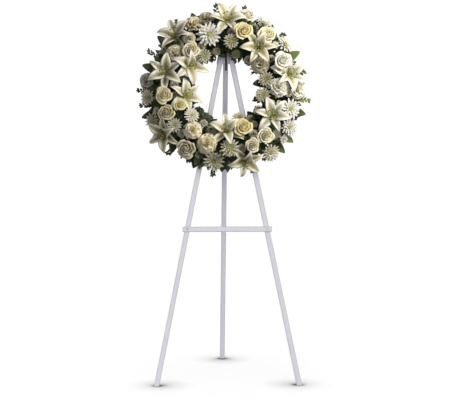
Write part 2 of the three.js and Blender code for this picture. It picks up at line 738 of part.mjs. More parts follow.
function greenery(greens, reach, low, high) {
  const outward = Math.sign(reach - ringRadius);
  const inFoam = ringRadius + outward * (foam.halfWidth - peg.deep);
  const pegs = [low + peg.inset, high - peg.inset].map((clock) => ({
    from: byRing(clock, reach, runner.front),
    to: byRing(clock, inFoam, runner.front),
  }));
  const grown = [];
  greens.filter(({ clock }) => clock >= low && clock < high).forEach((one) => {
    const solid = green(one, reach, [...placed, ...grown]);
    if (solid) grown.push({ solid, box: solid.boundingBox() });
  });
  const branch = runnerSolid(reach, low + runner.endInset, high - runner.endInset);
  const stalks = pegs.map(({ from, to }) => stem(from, to));
  return { solid: join([branch, ...stalks, ...grown.map(({ solid }) => solid)]), roots: pegs };
}

// The flowers and greens in the order in which they take their room, and the holes that their stems need
const growing = [];
const stemHoles = [];

function plant(name, { solid, roots }, finish) {
  if (!isClear(solid)) throw new Error(name + " has no room");
  placed.push({ solid, box: solid.boundingBox() });
  growing.push(meshOf(name, solid, finish));
  stemHoles.push(...roots.map(({ from, to }) => {
    const past = to.clone().sub(from).setLength(gap);
    return stem(from, to.clone().add(past), stemRadius + holeClearance);
  }));
}

const roseKind = { head: roseHead(), height: 29, lift: 24 };
const carnationKind = { head: carnationHead(), height: 24, lift: 8 };
const mumKind = { head: mumHead(), height: 14, lift: 8 };
roses.forEach((spots, k) => plant("rose_" + (k + 1), spray(roseKind, spots), roseCream));
carnations.forEach((spots, k) => plant("carnation_" + (k + 1), spray(carnationKind, spots), carnationWhite));
mums.forEach((spots, k) => plant("chrysanthemum_" + (k + 1), spray(mumKind, spots), mumWhite));
lilies.forEach((spot, k) => plant("lily_" + (k + 1), lily(spot), lilyWhite));
[[0, 120], [120, 240], [240, 360]].forEach(([low, high], k) => {
  plant("greenery_outer_" + (k + 1), greenery(outerGreens, runner.outside, low, high), leafGreen);
});
[[10, 123], [123, 237], [237, 350]].forEach(([low, high], k) => {
  plant("greenery_inner_" + (k + 1), greenery(innerGreens, runner.inside, low, high), leafGreen);
});

const hookHole = moved(hookSolid(gap), shift(easelBeside, -ringUp, 0));

const root = new Group();
const front = new Group();
const wreath = new Group();
const rear = new Group();
root.add(front, rear);
front.add(wreath);
front.position.set(easelBeside, -rearFootBack / 2, 0);
front.rotation.x = standUp;
wreath.position.set(-easelBeside, ringUp, 0);
rear.position.set(easelBeside, hingeBack - rearFootBack / 2, hingeHeight);
rear.rotation.x = rearStandUp;

front.add(
  meshOf("front_leg_left", frontLeg(-1), paint),
  meshOf("front_leg_right", frontLeg(1), paint),
  meshOf("crossbar", crossbarSolid(), paint),
  meshOf("head_block", headBlockSolid(), paint),
  meshOf("hanger_hook", hookSolid(), darkSteel),
  meshOf("hinge_fork", hingeFork(), zinc),
  meshOf("hinge_bolt", hingeBolt(), zinc),
  meshOf("crossbar_nail_left", pinAt(nailPlaces[0], nail, nailBack), zinc),
  meshOf("crossbar_nail_right", pinAt(nailPlaces[1], nail, nailBack), zinc),
  meshOf("head_screw_left", pinAt(screwPlaces[0], screw, gap), zinc),
  meshOf("head_screw_right", pinAt(screwPlaces[1], screw, gap), zinc),
);
rear.add(meshOf("rear_leg", rearLegSolid(), paint));
wreath.add(
  meshOf("foam_tray", traySolid(), trayGreen),
  meshOf("foam_ring", foamRing().subtract(join([hookHole, ...stemHoles])), foamGreen),
  ...growing,
);

export default root;
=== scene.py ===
"""A funeral wreath of white and cream flowers, hung on a white wooden tripod easel."""

import json
import math

import bpy
import numpy as np
from mathutils import Matrix, Vector

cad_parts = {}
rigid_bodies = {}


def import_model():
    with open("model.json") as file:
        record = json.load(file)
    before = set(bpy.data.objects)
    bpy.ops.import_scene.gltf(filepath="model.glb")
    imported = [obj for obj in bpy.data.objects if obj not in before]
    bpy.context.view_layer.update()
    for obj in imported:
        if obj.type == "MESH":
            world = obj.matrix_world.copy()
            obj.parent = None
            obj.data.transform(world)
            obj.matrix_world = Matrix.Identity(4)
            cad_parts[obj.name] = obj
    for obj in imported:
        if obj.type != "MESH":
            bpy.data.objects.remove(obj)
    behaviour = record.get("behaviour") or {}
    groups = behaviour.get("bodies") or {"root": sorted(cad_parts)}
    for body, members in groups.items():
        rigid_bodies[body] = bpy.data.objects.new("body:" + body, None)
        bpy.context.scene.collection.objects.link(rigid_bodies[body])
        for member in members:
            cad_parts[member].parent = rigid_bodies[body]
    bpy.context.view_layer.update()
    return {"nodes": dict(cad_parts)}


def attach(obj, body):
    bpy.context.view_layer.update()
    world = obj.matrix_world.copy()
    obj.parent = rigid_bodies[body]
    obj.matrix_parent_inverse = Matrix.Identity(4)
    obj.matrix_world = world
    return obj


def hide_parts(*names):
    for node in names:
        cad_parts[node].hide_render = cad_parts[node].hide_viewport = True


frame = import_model()
chance = np.random.RandomState(11)

# The wreath's own axes, in millimetres: x right, y up the laths, z towards the viewer, from the ring's middle
mm = 0.001
front_lean = math.radians(9)
front_foot_back = -0.2692806
ring_up = 1.024
wreath = np.array(
    Matrix.Translation((0, front_foot_back + ring_up * math.sin(front_lean), ring_up * math.cos(front_lean)))
    @ Matrix.Rotation(math.pi / 2 - front_lean, 4, "X")
    @ Matrix.Scale(mm, 4)
)

# The ring as in the solids, and how flowers are seated on it: their faces lie round its front, their stems are
# aimed into the foam, and further heads branch off a little above the foam
ring_radius = 190
tube_front = 28
face_depth = 84
steepest = math.sin(math.radians(80))
aim_front = 19
aim_spread = 15
turn_share = 0.55
fork_above = 44
stem_radius = 2.2
branch_radii = (1.6, 1.5, 1.7)

# Heads are drawn at one radius and then scaled, a little fuller than their own radius says. A lily is scaled
# petal by petal. Its lift is how far its face stands out beyond the ring's usual depth.
drawn_radius = 30
drawn_lily = 62
fullness = 1.06
lily_lift = 10
lily_height = 34

# Petals follow each other by the golden angle, and a wave may start anywhere in a whole turn
golden_angle = 2.39996
whole_turn = 6.28

white = (0.90, 0.89, 0.84)
warm_white = (0.87, 0.82, 0.68)
ivory = (0.84, 0.77, 0.56)
cream = (0.87, 0.78, 0.49)
cream_yellow = (0.89, 0.80, 0.44)
pale_butter = (0.91, 0.86, 0.62)
paper_white = (0.96, 0.94, 0.85)
butter_white = (0.90, 0.83, 0.63)
# Ivory with painted shade on its inner parts, for flowers deep between their neighbours
ivory_in_painted_shade = (*ivory, 0.40)

# right, up and radius of each head, and its colour. Where a line holds more heads, they branch from one stem.
# A colour's fourth number is painted shade: how light the inner parts stay of a flower deep between its
# neighbours.
# The whiter colours on the lit right and the creamier ones on the left are partly the flowers' own, partly
# painted light.
roses = [
    [(65, 198, 33, cream_yellow)],
    [(82, 271, 28, warm_white)],
    [(150, 189, 33, pale_butter)],
    [(200, 96, 32, paper_white)],
    [(138, -170, 30, pale_butter)],
    [(93, -205, 26, ivory)],
    [(59, -137, 34, cream_yellow)],
    [(-137, -216, 34, (*ivory, 0.42))],
    [(-205, -90, 29, (*cream, 0.45))],
    [(-155, -62, 23, cream_yellow)],
    [(-212, -28, 31, cream)],
    [(-117, 129, 30, ivory)],
]
carnations = [
    [(187, 3, 32, paper_white), (262, 4, 34, paper_white)],
    [(119, 81, 30, (*ivory, 0.55))],
    [(-63, -195, 33, ivory), (-112, -148, 30, butter_white)],
    [(-284, 39, 29, (*warm_white, 0.5))],
    [(-175, 118, 31, (*ivory, 0.5))],
    [(-125, 174, 21, (*ivory, 0.45))],
    [(-114, 246, 30, ivory), (-65, 266, 26, (*ivory, 0.62))],
]
mums = [
    [(143, 248, 29, white)],
    [(218, 168, 33, paper_white), (176, 150, 13.5, warm_white)],
    [(140, 30, 26.5, ivory_in_painted_shade), (129, -23, 26.5, (*ivory, 0.6))],
    [(228, -74, 35, white), (226, -136, 32, white)],
    [(162, -224, 33, warm_white), (206, -176, 16, white)],
    [(46, -97, 24.5, (*ivory, 0.6))],
    [(15, -211, 33, (*ivory, 0.55)), (-40, -256, 36, (*ivory, 0.5))],
    [(-114, -96, 27, warm_white), (-176, -132, 26, (*warm_white, 0.55))],
    [(-254, -110, 28.5, (*ivory, 0.5)), (-271, -28, 28.5, (*ivory, 0.7))],
    [(-55, 185, 42, (*white, 0.85)), (-70, 112, 24.5, ivory_in_painted_shade), (22, 161, 27, (*ivory, 0.25))],
]

# right, up, radius, turn round its own axis, how much each petal stands up or droops in degrees, and colour
# A colour's fourth number is painted shade, as for the heads above.
lilies = [
    (11, 251, 62, 30, (0, 0, -14, -7, 0, 0), warm_white),
    (116, 142, 60, 12, (14, -14, 0, 0, 0, 0), (*ivory, 0.8)),
    (229, 48, 60, 25, (0, -21, -21, 7, 0, 0), paper_white),
    (163, -96, 60, 20, (0, 0, 0, 0, -14, 0), (*white, 0.86)),
    (72, -252, 60, 30, (0, 0, 28, -7, 0, 0), (*ivory, 0.7)),
    (5, -145, 60, 8, (7, -21, 21, 0, 0, -21), (*warm_white, 0.86)),
    (-213, -159, 62, 50, (0, 0, 21, 0, 0, 0), (*ivory, 0.45)),
    (-130, -23, 58, 28, (-28, 0, 0, 0, 0, 0), warm_white),
    (-207, 55, 62, 40, (0, -14, 0, 0, 0, 0), (*warm_white, 0.5)),
    (-117, 80, 66, 15, (7, 0, 0, 0, -28, 28), warm_white),
    (-173, 191, 64, 35, (0, 0, -35, 14, 0, 0), (*warm_white, 0.5)),
]

# The greens grow from runners round the ring. Each line gives the clock angle in degrees from the top, how far
# out and how far forward the tip is, the kind and the colour.
# The colours are partly the leaves' own, partly painted light: brighter on the lit right, dark on the left and
# below
dark = (0.030, 0.050, 0.018)
deep = (0.050, 0.085, 0.026)
green = (0.095, 0.150, 0.040)
bright = (0.20, 0.27, 0.06)
grey_green = (0.20, 0.23, 0.15)
lime = (0.40, 0.46, 0.08)
runner_front = 18
runner_radius = 2.0
runner_end_inset = 2
peg_inset = 14
peg_length = 24
outer_runner = 237
inner_runner = 143
outer_greens = [
    (5, 298, 40, "leaf", deep),
    (14, 316, 40, "sprig", dark),
    (36, 297, 28, "leaf", deep),
    (46, 300, 40, "sprig", green),
    (62, 302, 40, "leaf", bright),
    (76, 296, 40, "sprig", bright),
    (96, 306, 40, "sprig", lime),
    (106, 296, 40, "leaf", green),
    (127, 300, 40, "leaf", bright),
    (136, 302, 40, "leaf", deep),
    (161, 305, 40, "sprig", dark),
    (182, 284, 40, "leaf", deep),
    (188, 306, 40, "sprig", dark),
    (202, 292, 40, "leaf", dark),
    (222, 304, 40, "sprig", dark),
    (236, 304, 40, "leaf", dark),
    (252, 302, 40, "leaf", dark),
    (260, 302, 40, "sprig", dark),
    (271, 308, 16, "sprig", dark),
    (288, 300, 40, "leaf", dark),
    (298, 306, 40, "sprig", grey_green),
    (310, 304, 40, "leaf", dark),
    (326, 308, 40, "sprig", dark),
    (338, 300, 40, "leaf", dark),
    (355, 316, 40, "sprig", dark),
]
inner_greens = [
    (20, 122, 40, "leaf", dark),
    (76, 104, 40, "leaf", dark),
    (104, 106, 40, "sprig", dark),
    (132, 108, 40, "leaf", deep),
    (165, 106, 40, "leaf", deep),
    (199, 104, 40, "sprig", deep),
    (207, 99, 44, "sprig", grey_green),
    (214, 98, 30, "sprig", deep),
    (220, 100, 46, "sprig", grey_green),
    (227, 97, 36, "leaf", deep),
    (235, 101, 44, "sprig", dark),
    (250, 100, 40, "sprig", dark),
    (282, 104, 40, "leaf", dark),
    (320, 118, 40, "leaf", dark),
    (329, 113, 46, "leaf", grey_green),
    (338, 110, 44, "leaf", deep),
    (345, 124, 40, "leaf", grey_green),
]


class Value:
    """A node's output that takes sums as a plain number does."""

    def __init__(self, nodes, socket):
        self.nodes = nodes
        self.socket = socket

    def _with(self, operation, *terms):
        return self.nodes.node("ShaderNodeMath", {"operation": operation}, dict(enumerate(terms)))

    def __add__(self, other):
        return self._with("ADD", self, other)

    def __sub__(self, other):
        return self._with("SUBTRACT", self, other)

    def __rsub__(self, other):
        return self._with("SUBTRACT", other, self)

    def __mul__(self, other):
        return self._with("MULTIPLY", self, other)

    def __pow__(self, other):
        return self._with("POWER", self, other)

    def __abs__(self):
        return self._with("ABSOLUTE", self)

    def sine(self):
        return self._with("SINE", self)

    def from_to(self, low, high):
        """0 at low, 1 at high, and a soft step between them."""
        ends = {"Value": self, "From Min": low, "From Max": high}
        return self.nodes.node("ShaderNodeMapRange", {"interpolation_type": "SMOOTHSTEP"}, ends)


class Nodes:
    """A tree of nodes. Every node in it comes from the one method named node."""

    def __init__(self, tree):
        self.tree = tree

    def put(self, socket, value):
        """Gives a socket a plain value, or a link from another node."""
        if isinstance(value, Value):
            self.tree.links.new(value.socket, socket)
        else:
            socket.default_value = value

    def node(self, kind, settings, sockets, output=0):
        """One node, with its settings made first, then its sockets' values or links."""
        made = self.tree.nodes.new(kind)
        for name, value in settings.items():
            setattr(made, name, value)
        for name, value in sockets.items():
            self.put(made.inputs[name], value)
        return Value(self, made.outputs[output])

    def mix(self, share, one, other):
        """Colour one where share is 0, and other where it is 1."""
        one, other = ((*c, 1) if isinstance(c, tuple) else c for c in (one, other))
        return self.node("ShaderNodeMix", {"data_type": "RGBA"}, {0: share, 6: one, 7: other}, 2)

    def carried(self, name, output):
        """What the mesh carries on its points."""
        return self.node("ShaderNodeAttribute", {"attribute_name": name}, {}, output)

    def split(self, vector):
        """The three parts of a vector."""
        parts = self.node("ShaderNodeSeparateXYZ", {}, {0: vector}).socket.node
        return [Value(self, output) for output in parts.outputs]

    def joined(self, x, y, z):
        return self.node("ShaderNodeCombineXYZ", {}, {0: x, 1: y, 2: z})

    def noise(self, at, scale, detail=3, roughness=0.55):
        sockets = {"Vector": at, "Scale": scale, "Detail": detail, "Roughness": roughness}
        return self.node("ShaderNodeTexNoise", {}, sockets, "Fac")

    def cells(self, scale):
        """How far each place is from the middle of the small cell that it lies in."""
        return self.node("ShaderNodeTexVoronoi", {}, {"Vector": self.here(), "Scale": scale}, "Distance")

    def here(self, x=1.0, y=1.0, z=1.0):
        """The place on the object, in metres, stretched."""
        place = self.node("ShaderNodeTexCoord", {}, {}, "Object")
        return self.node("ShaderNodeVectorMath", {"operation": "MULTIPLY"}, {0: place, 1: (x, y, z)})


class Finish(Nodes):
    """A material: the plain values of its skin, and nodes for what changes over the surface."""

    def __init__(self, name, **skin):
        self.material = bpy.data.materials.new(name)
        self.material.use_nodes = True
        super().__init__(self.material.node_tree)
        self.skin = self.tree.nodes["Principled BSDF"]
        for socket, value in skin.items():
            self.skin.inputs[socket.replace("_", " ")].default_value = value

    def dress(self, colour, roughness=None, height=None, strength=0.3, distance=0.0005):
        """Feeds the skin with what changes over the surface."""
        self.put(self.skin.inputs["Base Color"], colour)
        if roughness is not None:
            self.put(self.skin.inputs["Roughness"], roughness)
        if height is not None:
            sockets = {"Height": height, "Strength": strength, "Distance": distance}
            self.put(self.skin.inputs["Normal"], self.node("ShaderNodeBump", {}, sockets, "Normal"))
        return self.material


# Every petal's light rim, partly a painted highlight, deeper streaks and blotches, and painted shade between
# neighbours
rim_and_highlight_tone = (0.90, 0.89, 0.86)
streak_tone = (0.60, 0.51, 0.33)
blotch_tone = (0.56, 0.46, 0.30)
painted_shade_tone = (0.070, 0.066, 0.016)


def petal_finish(
    name, heart, heart_power, heart_share, shade, shade_share, reach, rim_share, roughness, veins, glow
):
    """A petal in its flower's colour: deeper towards the heart and along its middle, whiter at its rim, veined.

    heart is the colour at its foot. shade is the colour along its middle, up to reach, partly the petal's own
    band and partly painted shade; the whiter rim is likewise partly a painted highlight. veins is how fine its
    streaks are, and glow how much light passes through it. The tint's fourth number paints shade on its inner
    parts.
    """
    finish = Finish(
        name,
        Subsurface_Weight=glow,
        Subsurface_Radius=(1.0, 0.8, 0.45),
        Subsurface_Scale=glow * 0.02,
        Sheen_Weight=0.1,
    )
    along, across, tone = finish.split(finish.carried("place", "Vector"))
    aside = abs(across - 0.5)
    streaks = finish.noise(finish.joined(along * 1.6, across * veins, tone * 20), 1.0, 4)
    blotches = finish.noise(finish.joined(along * 2.5, across * 2.5, tone * 31), 1.0, 2)
    middle = 1 - aside.from_to(0.0, 0.13)
    inner = (1 - aside.from_to(0.02, 0.30)) * (1 - along.from_to(reach - 0.5, reach))
    # The whiter rim is partly the petal's own colour and partly a painted highlight
    colour = finish.mix(aside.from_to(0.16, 0.44) * rim_share, finish.carried("tint", "Color"), rim_and_highlight_tone)
    colour = finish.mix(streaks.from_to(0.40, 0.75) * 0.20, colour, streak_tone)
    colour = finish.mix(blotches.from_to(0.5, 0.8) * 0.18, colour, blotch_tone)
    # Along the middle: partly the petal's own band, partly painted shade
    colour = finish.mix(inner * shade_share, colour, shade)
    colour = finish.mix((1 - along) ** heart_power * heart_share, colour, heart)
    # Painted shade: a low fourth number in the tint darkens the inner parts of a flower deep between neighbours
    in_shadow = (1 - finish.carried("tint", "Alpha")) * (1.35 - along.from_to(0.45, 0.95) * 1.1)
    in_shadow = in_shadow * (1 - aside.from_to(0.06, 0.36) * rim_share)
    colour = finish.mix(in_shadow, colour, painted_shade_tone)
    return finish.dress(colour, streaks * 0.2 + roughness, streaks + middle * -0.6, 0.35, 0.0006)


def leaf_finish(name, roughness, ribs):
    """A leaf with a pale midrib, side veins and a waxy skin."""
    finish = Finish(name, Specular_IOR_Level=0.45, Subsurface_Weight=0.06, Subsurface_Scale=0.003)
    along, across, tone = finish.split(finish.carried("place", "Vector"))
    aside = abs(across - 0.5)
    rib = 1 - aside.from_to(0.0, 0.07)
    veins = (along * ribs - aside * (ribs * 0.9)).sine().from_to(0.80, 1.0) * 0.7
    mottle = finish.noise(finish.joined(along * 4, across * 3, tone * 23), 1.0, 4)
    tint = finish.carried("tint", "Color")
    colour = finish.mix(mottle.from_to(0.35, 0.75) * 0.45, tint, (0.035, 0.045, 0.012))
    colour = finish.mix((rib + veins) * 0.35, colour, (0.26, 0.30, 0.12))
    return finish.dress(colour, mottle * 0.3 + roughness, mottle * 0.5 - (rib + veins), 0.5, 0.0008)


def stem_finish():
    """Fresh green stems, mottled light and dark."""
    finish = Finish("fresh_stems", Roughness=0.55)
    grain = finish.noise(finish.here(), 420, 3)
    colour = finish.mix(grain, (0.06, 0.10, 0.025), (0.16, 0.20, 0.06))
    return finish.dress(colour, grain * 0.3 + 0.4, grain, 0.4, 0.0004)


def button_finish():
    """The disc florets of a chrysanthemum: a mat of tiny yellow-green tubes."""
    finish = Finish("disc_florets", Sheen_Weight=0.1)
    cells = finish.cells(950.0)
    colour = finish.mix(cells.from_to(0.1, 0.7), (0.62, 0.60, 0.10), (0.22, 0.27, 0.04))
    return finish.dress(colour, cells * 0.2 + 0.55, 1 - cells, 0.9, 0.0012)


def anther_finish():
    """The anthers' dark brown dust."""
    finish = Finish("lily_anthers")
    grain = finish.noise(finish.here(), 1600, 3)
    colour = finish.mix(grain.from_to(0.35, 0.7), (0.060, 0.032, 0.012), (0.20, 0.11, 0.03))
    return finish.dress(colour, grain * 0.2 + 0.7, grain, 0.7, 0.0006)


def throat_finish():
    """A lily's pale green throat, stamens and pistil."""
    finish = Finish("lily_throat", Subsurface_Weight=0.15, Subsurface_Scale=0.003)
    grain = finish.noise(finish.here(), 300, 2)
    colour = finish.mix(grain, (0.42, 0.48, 0.12), (0.60, 0.62, 0.25))
    return finish.dress(colour, grain * 0.2 + 0.35, grain, 0.2, 0.0004)


def paint_finish():
    """White paint brushed on softwood: the grain shows through, and small scuffs take off the gloss."""
    finish = Finish("white_paint", Coat_Roughness=0.3)
    grain = finish.noise(finish.here(150, 150, 5), 1.0, 5, 0.6)
    brush = finish.noise(finish.here(420, 420, 7), 1.0, 2)
    cloud = finish.noise(finish.here(9, 9, 4), 1.0, 3)
    scuff = finish.noise(finish.here(70, 70, 22), 1.0, 4, 0.7).from_to(0.66, 0.74)
    colour = finish.mix(cloud.from_to(0.3, 0.75), (0.80, 0.79, 0.87), (0.76, 0.75, 0.83))
    colour = finish.mix(grain.from_to(0.45, 0.75) * 0.16, colour, (0.55, 0.53, 0.58))
    colour = finish.mix(scuff * 0.35, colour, (0.40, 0.36, 0.33))
    return finish.dress(colour, scuff * 0.25 + grain * 0.15 + 0.34, grain + brush * 0.5 - scuff, 0.35, 0.0006)


def metal_finish(name, light, dark_patch, roughness):
    """Metal with a patchy haze and fine scratches."""
    finish = Finish(name, Metallic=1.0)
    haze = finish.noise(finish.here(), 240, 4)
    scratches = finish.noise(finish.here(900, 900, 60), 1.0, 3)
    colour = finish.mix(haze.from_to(0.4, 0.7), light, dark_patch)
    return finish.dress(colour, scratches * 0.25 + roughness, scratches + haze * 0.5, 0.2, 0.0003)


def tray_finish():
    """Dark green moulded plastic with a fine grain."""
    finish = Finish("tray_plastic", Specular_IOR_Level=0.4)
    grain = finish.noise(finish.here(), 1300, 2)
    cloud = finish.noise(finish.here(), 30, 2)
    colour = finish.mix(cloud, (0.013, 0.026, 0.012), (0.020, 0.036, 0.017))
    return finish.dress(colour, grain * 0.15 + 0.38, grain, 0.25, 0.0003)


def foam_finish():
    """Green floral foam: a mat of open cells."""
    finish = Finish("floral_foam", Roughness=0.95)
    cells = finish.cells(520.0)
    cloud = finish.noise(finish.here(), 22, 4)
    colour = finish.mix(cloud.from_to(0.35, 0.7), (0.022, 0.042, 0.016), (0.010, 0.018, 0.008))
    return finish.dress(colour, cells * 0.1 + 0.85, cells + cloud, 0.9, 0.0012)


rose_petal = petal_finish(
    "rose_petals",
    heart=(0.74, 0.52, 0.13), heart_power=2.0, heart_share=0.85,
    shade=(0.82, 0.68, 0.32), shade_share=0.3, reach=0.9,
    rim_share=0.25, roughness=0.50, veins=16.0, glow=0.3,
)
carnation_petal = petal_finish(
    "carnation_petals",
    heart=(0.90, 0.74, 0.36), heart_power=1.4, heart_share=0.6,
    shade=(0.90, 0.80, 0.52), shade_share=0.2, reach=0.9,
    rim_share=0.0, roughness=0.60, veins=9.0, glow=0.12,
)
mum_petal = petal_finish(
    "chrysanthemum_petals",
    heart=(0.44, 0.48, 0.11), heart_power=2.8, heart_share=0.9,
    shade=(0.62, 0.57, 0.32), shade_share=0.5, reach=0.8,
    rim_share=0.35, roughness=0.52, veins=9.0, glow=0.25,
)
lily_petal = petal_finish(
    "lily_petals",
    heart=(0.20, 0.23, 0.03), heart_power=2.1, heart_share=1.0,
    shade=(0.36, 0.31, 0.10), shade_share=0.85, reach=1.05,
    rim_share=0.85, roughness=0.42, veins=22.0, glow=0.08,
)
broad_leaf = leaf_finish("broad_leaves", 0.28, 52.0)
small_leaf = leaf_finish("small_leaves", 0.32, 26.0)
stems = stem_finish()
florets = button_finish()
anthers = anther_finish()
throat = throat_finish()
finishes = [
    rose_petal, carnation_petal, mum_petal, lily_petal, broad_leaf, small_leaf, stems, florets, anthers, throat
]


class Growth:
    """Sheets and stalks that make one piece, in millimetres, with what the finishes read from them."""

    def __init__(self):
        self.points, self.quads, self.ends = [], [], []
        self.place, self.tint, self.finish, self.end_finish = [], [], [], []
        self.count = 0
        self.at = np.eye(4)

    def add(self, points, quads, place, tint, finish):
        points = points @ self.at[:3, :3].T + self.at[:3, 3]
        self.points.append(points)
        self.quads.append(quads + self.count)
        self.place.append(place)
        self.tint.append(np.tile((*tint, 1.0)[:4], (len(points), 1)))
        self.finish.append(np.full(len(quads), finishes.index(finish)))
        self.count += len(points)

    def sheet(self, grid, tint, finish, thick=0.6):
        """A thin closed blade over a grid of points, its faces meeting at the rim."""
        rows, cols = grid.shape[:2]
        normal = np.cross(np.gradient(grid, axis=1), np.gradient(grid, axis=0))
        normal /= np.linalg.norm(normal, axis=2, keepdims=True) + 1e-9
        inside = np.zeros((rows, cols), bool)
        inside[1:-1, 1:-1] = True
        half = np.where(inside, thick / 2, 0)[..., None]
        above = np.arange(rows * cols).reshape(rows, cols)
        below = above.copy()
        below[inside] = rows * cols + np.arange(inside.sum())
        squares = [
            np.stack([n[:-1, :-1], n[:-1, 1:], n[1:, 1:], n[1:, :-1]], -1).reshape(-1, 4)
            for n in (above, below)
        ]
        along, across = np.meshgrid(np.linspace(0, 1, rows), np.linspace(0, 1, cols), indexing="ij")
        place = np.stack([along, across, np.full_like(along, chance.rand())], -1)
        self.add(
            np.concatenate([(grid + normal * half).reshape(-1, 3), (grid - normal * half)[inside]]),
            np.concatenate([squares[0], squares[1][:, ::-1]]),
            np.concatenate([place.reshape(-1, 3), place[inside]]),
            tint,
            finish,
        )

    def stalk(self, path, radii, tint, finish, sides=8):
        """A round stalk along a path, closed at both ends."""
        path = np.array(path, float)
        along = np.gradient(path, axis=0)
        along /= np.linalg.norm(along, axis=1, keepdims=True)
        aside = np.cross(along, (0.31, 0.17, 0.93))
        aside /= np.linalg.norm(aside, axis=1, keepdims=True)
        over = np.cross(along, aside)
        angle = np.arange(sides) * 2 * np.pi / sides
        ring = np.cos(angle)[:, None] * aside[:, None] + np.sin(angle)[:, None] * over[:, None]
        points = (path[:, None] + np.broadcast_to(radii, len(path))[:, None, None] * ring).reshape(-1, 3)
        n = np.arange(len(points)).reshape(len(path), sides)
        turned = np.roll(n, -1, 1)
        quads = np.stack([n[:-1], turned[:-1], turned[1:], n[1:]], -1).reshape(-1, 4)
        for end in (n[0][::-1], n[-1]):
            self.ends.append((end + self.count).tolist())
            self.end_finish.append(finishes.index(finish))
        rows = np.repeat(np.linspace(0, 1, len(path)), sides)
        place = np.stack([rows, np.tile(np.arange(sides) / sides, len(path)), np.zeros(len(points))], -1)
        self.add(points, quads, place, tint, finish)

    def piece(self, name, slot, *nodes):
        """The finished piece, riding on the easel's frame."""
        mesh = bpy.data.meshes.new(name)
        points = np.concatenate(self.points) @ wreath[:3, :3].T + wreath[:3, 3]
        mesh.from_pydata(points.tolist(), [], np.concatenate(self.quads).tolist() + self.ends)
        used = np.concatenate([*self.finish, np.array(self.end_finish, int)])
        kept = sorted(set(used.tolist()))
        for number in kept:
            mesh.materials.append(finishes[number])
        mesh.polygons.foreach_set("material_index", np.searchsorted(kept, used))
        mesh.polygons.foreach_set("use_smooth", np.ones(len(used), bool))
        place = mesh.attributes.new("place", "FLOAT_VECTOR", "POINT")
        place.data.foreach_set("vector", np.concatenate(self.place).ravel())
        tint = mesh.attributes.new("tint", "FLOAT_COLOR", "POINT")
        tint.data.foreach_set("color", np.concatenate(self.tint).ravel())
        mesh.update()
        made = bpy.data.objects.new(name, mesh)
        bpy.context.scene.collection.objects.link(made)
        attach(made, "frame")
        if nodes:
            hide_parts(*nodes)


def turned(angle, axis="Z"):
    return np.array(Matrix.Rotation(angle, 4, axis))


def shifted(x, y, z):
    return np.array(Matrix.Translation((x, y, z)))


def scaled(share):
    return np.diag([share] * 3 + [1])


def spun(grid, angle):
    """A grid of points turned round the flower's own axis."""
    return grid @ turned(angle)[:3, :3].T


def unit(vector):
    return vector / np.linalg.norm(vector)


def based(x, y, z, origin):
    """Axes from three directions and an origin."""
    place = np.eye(4)
    place[:3, 0], place[:3, 1], place[:3, 2], place[:3, 3] = x, y, z, origin
    return place


def pointing(x, up, origin):
    """Axes whose X is x, and whose Z is as near to up as that allows."""
    y = unit(np.cross(up, x))
    return based(x, y, np.cross(x, y), origin)


def blade(rows, columns):
    """How far each point of a sheet is from foot to tip, 0 to 1, and from side to side, -1 to 1."""
    return np.meshgrid(np.linspace(0, 1, rows), np.linspace(-1, 1, columns), indexing="ij")


def seat(right, up, lift, height):
    """Where a flower stands over the ring's round front, and the point in the foam that its stem is aimed at."""
    reach = math.hypot(right, up)
    radial = np.array((right / reach, up / reach, 0))
    offset = reach - ring_radius
    depth = max(face_depth + lift, abs(offset) / steepest)
    sine = offset / depth
    cosine = math.sqrt(1 - sine * sine)
    face = radial * (ring_radius + depth * sine) + (0, 0, tube_front + depth * cosine)
    aim = radial * (ring_radius + aim_spread * sine) + (0, 0, aim_front)
    turn = math.asin(sine) * turn_share
    axis = radial * math.sin(turn) + (0, 0, math.cos(turn))
    across = np.cross((0, 0, 1), radial)
    return based(np.cross(across, axis), across, axis, face - axis * height), aim


def ease(v, start, end):
    """0 up to start, 1 from end, and a soft step between them."""
    t = np.clip((v - start) / (end - start), 0, 1)
    return t * t * (3 - 2 * t)


def shaded(tint, spread=0.05):
    """A colour a little off, so that no two petals are quite alike."""
    return tuple(np.clip(np.array(tint) * (1 + chance.uniform(-spread, spread / 2)), 0, 1))


def rose(growth, tint):
    """A half-open rose: a wound heart, and petals that open and roll back the further out they are."""
    petals = 22
    v, u = blade(11, 15)
    start = chance.uniform(0, whole_turn)
    for k in range(petals):
        t = k / (petals - 1)
        belly = 3.2 + 19.8 * t**1.05
        flare = -2.0 + 10.0 * t**1.3
        top = 31 - 9.0 * t**1.6
        wrap = math.radians(100 - 48 * t)
        roll = ease(v, 0.6, 1.0)
        radius = belly * np.sin(np.clip(v / 0.6, 0, 1) * np.pi / 2) ** 0.8 + flare * roll * (1 - 0.3 * u**2)
        radius = radius + (2.4 - t) * u + 0.7 * np.sin(5 * u + 2.1 * k) * v**2 * (0.3 + t)
        up = 2 + (top - 2) * v**0.85 - (2 + 5 * t) * np.abs(u) ** 3 * v - 6.0 * t * roll**2
        angle = start + k * golden_angle + u * wrap * (0.55 + 0.45 * np.sin(np.pi * np.clip(v, 0, 0.85) ** 0.8))
        grid = np.stack([radius * np.cos(angle), radius * np.sin(angle), up], -1)
        growth.sheet(grid, shaded(tint), rose_petal, 0.9)
    growth.stalk([(0, 0, -3), (0, 0, 0), (0, 0, 3), (0, 0, 7)], (2.4, 6.0, 6.6, 4.5), green, stems, 12)
    for k in range(5):
        sepal(growth, k * 72)


def sepal(growth, angle):
    """A narrow sepal that lies under the outer petals."""
    v, u = blade(6, 3)
    half = 3.4 * (1 - v) ** 0.7
    out = 4 + 19 * v
    grid = np.stack([out, u * half, 1.0 + 5 * v**2 - 0.6 * (1 - u**2)], -1)
    growth.sheet(spun(grid, math.radians(angle)), deep, small_leaf)


